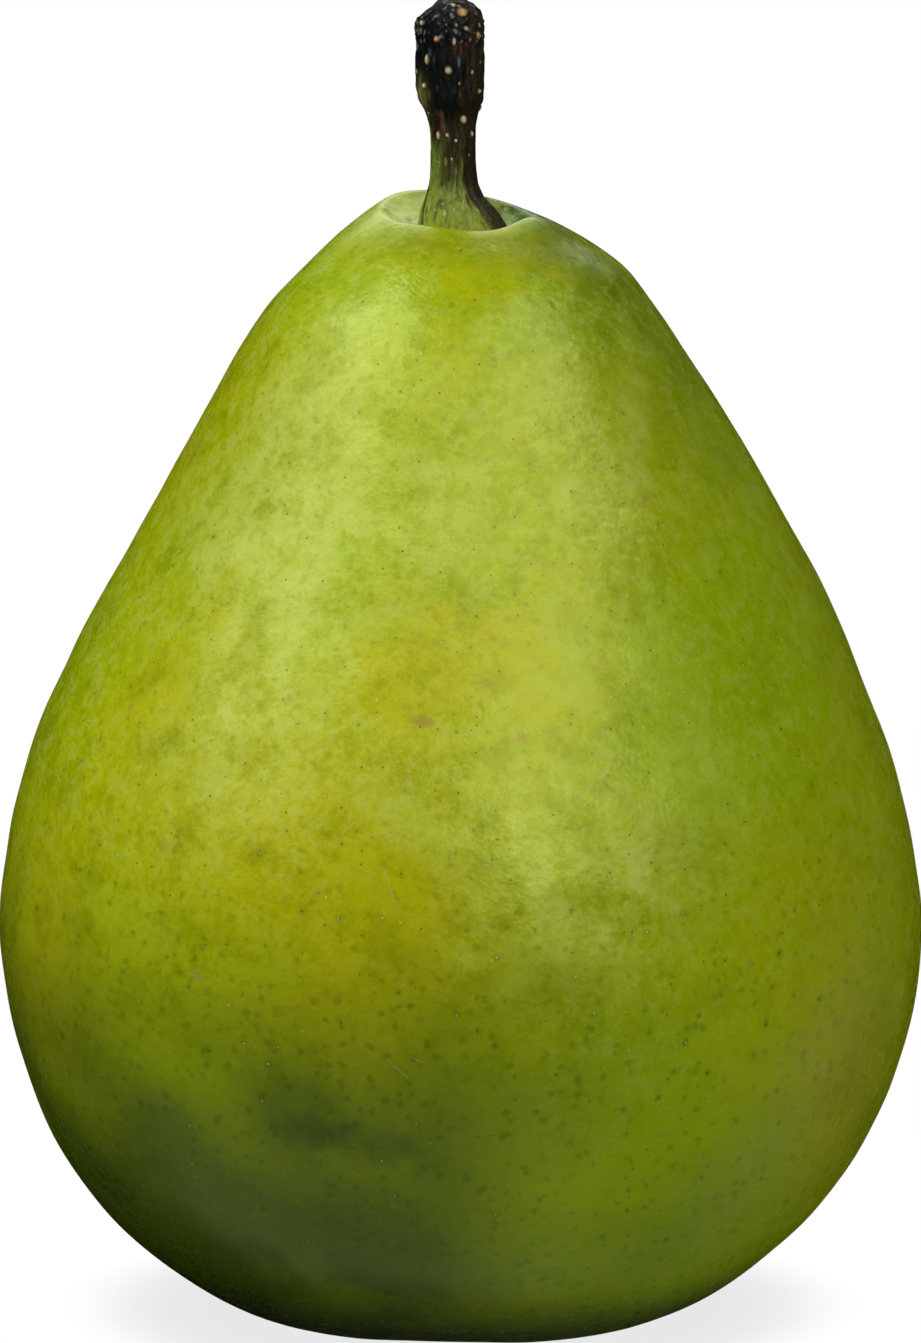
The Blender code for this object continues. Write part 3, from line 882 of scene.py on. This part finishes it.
# Five sepals that bend out of the cup and curl: each a flattened tube, wide at its middle and
# pointed at its tip; a turned cup, and withered filaments that lean out of it.
def makeCalyx():
    material = makeDryTissue()
    rng = np.random.default_rng(7)
    rows, columns = 26, 12
    u = np.linspace(0, 1, rows)
    points, faces = [], []
    count = 0
    for k in range(calyx["sepals"]):
        angle = calyx["firstSepal"] + 2 * math.pi * k / calyx["sepals"] + rng.uniform(-0.12, 0.12)
        out = np.array([math.cos(angle), math.sin(angle), 0.0])
        side = np.array([-math.sin(angle), math.cos(angle), 0.0])
        reach = 2.2 + (3.7 + rng.uniform(-0.3, 0.3)) * u
        height = 3.6 - 2.9 * np.sin(u * 2.2) + 1.1 * u**3 + rng.uniform(-0.1, 0.25)
        bend = rng.uniform(-0.5, 0.5) * u**2
        path = out * reach[:, None] + side * bend[:, None] + np.array([0, 0, 1.0]) * height[:, None]
        tangent = np.gradient(path, axis=0)
        tangent /= np.linalg.norm(tangent, axis=1, keepdims=True)
        normal = np.cross(tangent, np.broadcast_to(side, path.shape))
        leaf = np.sin(math.pi * np.clip(u * 0.93 + 0.05, 0, 1)) ** 0.7
        width = calyx["sepalWidth"] * leaf * (1 - 0.45 * u)
        thick = calyx["sepalThickness"] * (1 - 0.5 * u)
        thick = thick * np.minimum(1, 8 * np.minimum(u + 0.02, 1.02 - u))
        sideways = np.broadcast_to(side, path.shape)
        sepal = tubeAlong(path, sideways, normal, np.maximum(width, 0.02), thick, columns)
        curl = ((sepal - path[rows // 2]) @ side) ** 2
        sepal[:, 2] += 0.16 * curl
        points.append(sepal)
        faces += [[index + count for index in face] for face in wrappedFaces(rows, columns)]
        count += len(sepal)
    points = seat(np.vstack(points), calyx["drawnBox"], "calyx")
    addPiece("calyxSepals", points, faces, material, "calyx")

    curve = smoothCurve(calyx["cup"], 10)
    profile = evenRows(curve, 60, np.full(len(curve), 0.1))
    radius, angle, height = turnedGrid(profile, 72)
    ruffled = radius * (1 + 0.06 * np.cos(5 * angle) + 0.03 * np.cos(13 * angle + 1.0))
    grid = np.stack([ruffled * np.cos(angle), ruffled * np.sin(angle), height], -1)
    points = seat(closeGrid(grid)[::-1], calyx["drawnBox"], "calyx")
    addPiece("calyxCup", points, wrappedFaces(60, 72), material, "calyx")

    rows, columns = 14, 7
    u = np.linspace(0, 1, rows)
    points, faces = [], []
    count = 0
    for k in range(calyx["filaments"]):
        angle = 2 * math.pi * k / calyx["filaments"] + rng.uniform(-0.15, 0.15)
        out = np.array([math.cos(angle), math.sin(angle), 0.0])
        side = np.array([-math.sin(angle), math.cos(angle), 0.0])
        reach = 1.5 + rng.uniform(0.5, 2.2) * u**1.3
        height = 2.9 - rng.uniform(1.4, 2.2) * np.sin(u * rng.uniform(1.5, 2.3))
        bend = rng.uniform(-0.8, 0.8) * u**2
        path = out * reach[:, None] + side * bend[:, None] + np.array([0, 0, 1.0]) * height[:, None]
        tangent = np.gradient(path, axis=0)
        tangent /= np.linalg.norm(tangent, axis=1, keepdims=True)
        sideways = np.broadcast_to(side, path.shape)
        normal = np.cross(tangent, sideways)
        width = calyx["filamentRadius"] * (1 + 2 * hump(u, 0.94, 0.06))
        width *= np.minimum(1, 12 * np.minimum(u + 0.01, 1.01 - u))
        filament = tubeAlong(path, sideways, normal, width, width, columns)
        points.append(filament)
        faces += [[index + count for index in face] for face in wrappedFaces(rows, columns)]
        count += len(filament)
    points = seat(np.vstack(points), calyx["drawnBox"], "calyx")
    addPiece("calyxFilaments", points, faces, material, "calyx")


makeCalyx()


studio = {
    # reflections: soft boxes as azimuth from and to (0 straight ahead of the front, 90 its right),
    # elevation from and to, edge softness, all in degrees, and strength
    "softBoxes": {
        "leftOverhead": (-116, -38, 45, 70, 9, 4.9),
        "leftMiddle": (-100, -46, 31, 46, 8, 2.5),
        "leftLow": (-74, -30, 17, 32, 10, 1.0),
        "frontBand": (-42, 60, 46, 57, 6, 2.6),
        "frontTop": (-40, 32, 56, 68, 7, 1.3),
        "rightOverhead": (26, 92, 44, 70, 7, 4.2),
        "frontRight": (1, 50, 11, 46, 6, 3.6),
        "frontRightCore": (3, 36, 15, 32, 12, 5.8),
        "rightMiddle": (50, 78, 8, 38, 6, 0.8),
        "frontLow": (0, 40, -10, 6, 9, 0.3),
        "backOverhead": (155, 205, 25, 60, 12, 1.6),
    },
    # shading: wide suns as azimuth, elevation and strength, left out of reflections
    "suns": {
        "frontSun": (0, 40, 2.10),
        "leftSun": (-84, 38, 1.80),
        "rightLowSun": (120, -35, 1.05),
        "backSun": (165, 32, 1.3),
        "lowSun": (45, -42, 0.30),
    },
    "sunWidth": math.radians(50),
    "haze": 0.42,
    "floorHalf": 3.0,
    "floorShadeReach": 0.010,
    # camera: distance and heights in metres, sensor in millimetres
    "distance": 0.8,
    "aimHeight": 0.0564,
    "framedHeight": 0.11678,
    "sensor": 36.0,
}


# White for the camera; for reflections a dark room with soft-edged boxes of light.
def makeStudio():
    world = bpy.data.worlds.new("studio")
    bpy.context.scene.world = world
    world.cycles_visibility.diffuse = False
    sky = Shader(world)
    way = sky.add("SeparateXYZ", {0: sky.add("TexCoord").outputs["Generated"]}).outputs
    azimuth = sky.math("DEGREES", sky.math("ARCTAN2", way[0], sky.times(way[1], -1.0)))
    elevation = sky.math("DEGREES", sky.math("ARCSINE", way[2]))
    # a haze from below, except from the right
    glow = sky.times(sky.span(way[0], 0.55, 0.25), sky.span(way[2], -0.40, -0.75), studio["haze"])
    glow = sky.times(glow, sky.span(way[1], 0.40, 0.0))
    for left, right, low, high, soft, strength in studio["softBoxes"].values():
        middle, half = (left + right) / 2, (right - left) / 2
        away = sky.math("SUBTRACT", azimuth, middle)
        away = sky.math("ABSOLUTE", sky.math("WRAP", away, 180.0, -180.0))
        mask = sky.times(
            sky.span(away, half + soft / 2, half - soft / 2),
            sky.span(elevation, low - soft / 2, low + soft / 2),
            sky.span(elevation, high + soft / 2, high - soft / 2),
        )
        glow = sky.math("MAXIMUM", glow, sky.times(mask, strength))
    room = sky.add("Background", {"Color": (1, 1, 1, 1), "Strength": glow})
    white = sky.add("Background", {"Color": (1, 1, 1, 1), "Strength": 1.0})
    seen = sky.add("LightPath").outputs["Is Camera Ray"]
    both = sky.add("MixShader", {0: seen, 1: room.outputs[0], 2: white.outputs[0]})
    sky.add("OutputWorld", {"Surface": both.outputs[0]})
    for name, (azimuth, elevation, strength) in studio["suns"].items():
        sun = bpy.data.lights.new(name, "SUN")
        sun.energy = strength
        sun.angle = studio["sunWidth"]
        turn, rise = math.radians(azimuth), math.radians(elevation)
        level = math.cos(rise)
        toSun = Vector((math.sin(turn) * level, -math.cos(turn) * level, math.sin(rise)))
        holder = bpy.data.objects.new(name, sun)
        holder.rotation_euler = toSun.to_track_quat("Z", "Y").to_euler()
        holder.visible_glossy = False
        bpy.context.scene.collection.objects.link(holder)


# A plain pale floor with a painted contact shadow, a little darker close round the fruit, and clear
# from underneath.
def makeFloor():
    half = studio["floorHalf"]
    mesh = bpy.data.meshes.new("floor")
    corners = [(-half, -half, 0), (half, -half, 0), (half, half, 0), (-half, half, 0)]
    mesh.from_pydata(corners, [], [(0, 1, 2, 3)])
    material = bpy.data.materials.new("floorPale")
    pale = Shader(material)
    reach = {"Distance": studio["floorShadeReach"]}
    # painted contact shadow: ambient occlusion darkens the glowing floor near the fruit
    shade = pale.add("AmbientOcclusion", reach, samples=8).outputs["AO"]
    strength = pale.span(shade, 0.25, 0.9, 0.80, 1.0)
    light = pale.add("Emission", {"Color": (1, 1, 1, 1), "Strength": strength})
    clear = pale.add("BsdfTransparent").outputs[0]
    under = pale.add("NewGeometry").outputs["Backfacing"]
    both = pale.add("MixShader", {0: under, 1: light.outputs[0], 2: clear})
    pale.add("OutputMaterial", {"Surface": both.outputs[0]})
    mesh.materials.append(material)
    floor = bpy.data.objects.new("floor", mesh)
    bpy.context.scene.collection.objects.link(floor)
    floor.visible_diffuse = False
    floor.visible_glossy = False
    floor.visible_shadow = False
    floor.visible_transmission = False


# Looks along +Y and a little down at the fruit; lens = sensor * distance / framed height.
def makeCamera():
    camera = bpy.data.cameras.new("camera")
    camera.sensor_width = studio["sensor"]
    camera.lens = studio["sensor"] * studio["distance"] / studio["framedHeight"]
    camera.clip_start = 0.01
    holder = bpy.data.objects.new("camera", camera)
    aim = np.array([0.0, 0.0, studio["aimHeight"]])
    away = np.array([0.0, -math.cos(lookDown), math.sin(lookDown)])
    holder.location = aim + studio["distance"] * away
    holder.rotation_euler = (math.pi / 2 - lookDown, 0.0, 0.0)
    bpy.context.scene.collection.objects.link(holder)
    bpy.context.scene.camera = holder


makeStudio()
makeFloor()
makeCamera()
bpy.context.scene.view_settings.view_transform = "Standard"
print("studio ready")
